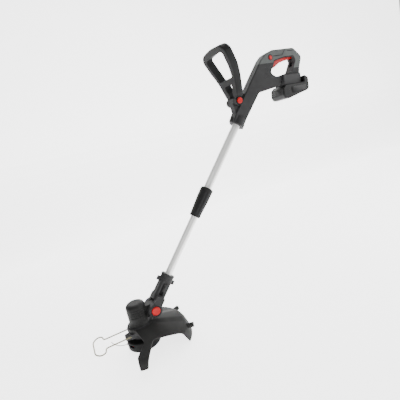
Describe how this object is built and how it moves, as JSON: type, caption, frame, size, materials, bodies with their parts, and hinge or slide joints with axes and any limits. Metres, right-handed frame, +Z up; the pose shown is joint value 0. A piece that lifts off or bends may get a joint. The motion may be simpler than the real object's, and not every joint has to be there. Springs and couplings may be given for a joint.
{
  "type": "cordless string trimmer",
  "caption": "Cordless string trimmer: D-shaped rear grip with slide-on battery, looped front handle, telescopic tube, tilting motor head, bell guard and bent wire plant guard.",
  "frame": {"origin": "centre of the bump knob's flat bottom, on the spool's spin axis", "axes": "+Z up along the spin axis, -X forward to the wire guard, +X back to the operator, -Y to the operator's left"},
  "size_m": [0.9812, 0.2436, 0.8933],
  "materials": {
    "black": "fine matte texture",
    "soft_grip": "soft matte",
    "red": "satin",
    "grey_plastic": "matte",
    "tube": "satin anodised",
    "steel": "plain",
    "motor_metal": "plain",
    "board": "lacquer",
    "cell": "wrap",
    "line": "smooth nylon"
  },
  "bodies": {
    "handle": {"rear_housing_left": "black", "rear_housing_right": "black", "grip_overmould": "soft_grip", "housing_screw_1": "steel", "housing_screw_2": "steel", "housing_screw_3": "steel", "housing_screw_4": "steel", "trigger_pin": "black", "switch_module": "black", "control_board": "board", "battery_shoe": "grey_plastic", "terminal_block": "black", "upper_tube": "tube", "collet": "black", "front_bracket": "black", "front_pivot_pin": "steel"},
    "trigger": {"trigger": "red"},
    "lock_off": {"lock_off_button": "red"},
    "front_handle": {"front_handle": "black", "front_grip_pad": "black"},
    "front_lock": {"front_lock_button": "red"},
    "battery": {"battery_case_lower": "black", "battery_case_upper": "black", "battery_cell_1": "cell", "battery_cell_2": "cell", "battery_cell_3": "cell", "battery_cell_4": "cell", "battery_cell_5": "cell"},
    "battery_release": {"battery_release_button": "black"},
    "sleeve": {"locking_sleeve": "black"},
    "lower_shaft": {"lower_tube": "tube", "telescope_plug": "black"},
    "neck": {"neck_left": "black", "neck_right": "black", "neck_screw_1": "steel", "neck_screw_2": "steel", "tilt_axle": "steel"},
    "tilt_button": {"tilt_button": "red"},
    "head": {"motor_cover": "black", "motor_stator": "motor_metal", "bearing_upper": "steel", "bearing_lower": "steel", "motor_base": "black", "guard": "black", "guard_screw_1": "steel", "guard_screw_2": "steel", "guard_screw_3": "steel", "cutter_blade": "steel"},
    "rotor": {"rotor_shaft": "steel", "rotor_magnet": "motor_metal", "spool_drum": "black", "spool_cover": "black", "line_spool": "red", "line_winding": "line", "line_eyelet_1": "steel", "line_eyelet_2": "steel", "cutting_line": "line"},
    "bump": {"bump_knob": "red"},
    "wire": {"wire_guard": "steel"}
  },
  "joints": [
    {"name": "trigger_squeeze", "type": "hinge", "parent": "handle", "child": "trigger", "pos_m": [0.77821, 0, 0.83791], "axis": [0, 1, 0], "range_deg": [0, 3], "stiffness_Nm_per_rad": 0.6, "springref_deg": -5.73},
    {"name": "lock_off_press", "type": "slide", "parent": "handle", "child": "lock_off", "axis": [0, 1, 0], "range_m": [0, 0.003], "stiffness_N_per_m": 300, "springref_m": -0.002},
    {"name": "front_handle_tilt", "type": "hinge", "parent": "handle", "child": "front_handle", "pos_m": [0.50977, 0, 0.70991], "axis": [0, 1, 0], "range_deg": [-25, 25]},
    {"name": "front_lock_press", "type": "slide", "parent": "front_handle", "child": "front_lock", "axis": [0, 1, 0], "range_m": [0, 0.004], "stiffness_N_per_m": 300, "springref_m": -0.002},
    {"name": "battery_slide", "type": "slide", "parent": "handle", "child": "battery", "axis": [1, 0, 0], "range_m": [0, 0.075]},
    {"name": "battery_release_press", "type": "slide", "parent": "battery", "child": "battery_release", "axis": [-1, 0, 0], "range_m": [0, 0.0015], "stiffness_N_per_m": 300, "springref_m": -0.002},
    {"name": "sleeve_twist", "type": "hinge", "parent": "handle", "child": "sleeve", "pos_m": [0.30179, 0, 0.40095], "axis": [0.6494, 0, 0.7604], "range_deg": [0, 90]},
    {"name": "telescope", "type": "slide", "parent": "handle", "child": "lower_shaft", "axis": [0.6494, 0, 0.7604], "range_m": [0, 0.19]},
    {"name": "head_turn", "type": "hinge", "parent": "lower_shaft", "child": "neck", "pos_m": [0.10696, 0, 0.17283], "axis": [0.6494, 0, 0.7604], "range_deg": [0, 180]},
    {"name": "tilt_press", "type": "slide", "parent": "neck", "child": "tilt_button", "axis": [0, 1, 0], "range_m": [0, 0.005], "stiffness_N_per_m": 300, "springref_m": -0.002},
    {"name": "head_tilt", "type": "hinge", "parent": "neck", "child": "head", "pos_m": [0.055, 0, 0.112], "axis": [0, 1, 0], "range_deg": [-30, 30]},
    {"name": "spool_spin", "type": "hinge", "parent": "head", "child": "rotor", "pos_m": [0, 0, 0.03], "axis": [0, 0, 1], "continuous": true},
    {"name": "bump_press", "type": "slide", "parent": "rotor", "child": "bump", "axis": [0, 0, 1], "range_m": [0, 0.0035], "stiffness_N_per_m": 600, "springref_m": -0.004},
    {"name": "wire_guard_slide", "type": "slide", "parent": "head", "child": "wire", "axis": [1, 0, 0], "range_m": [0, 0.035]}
  ]
}
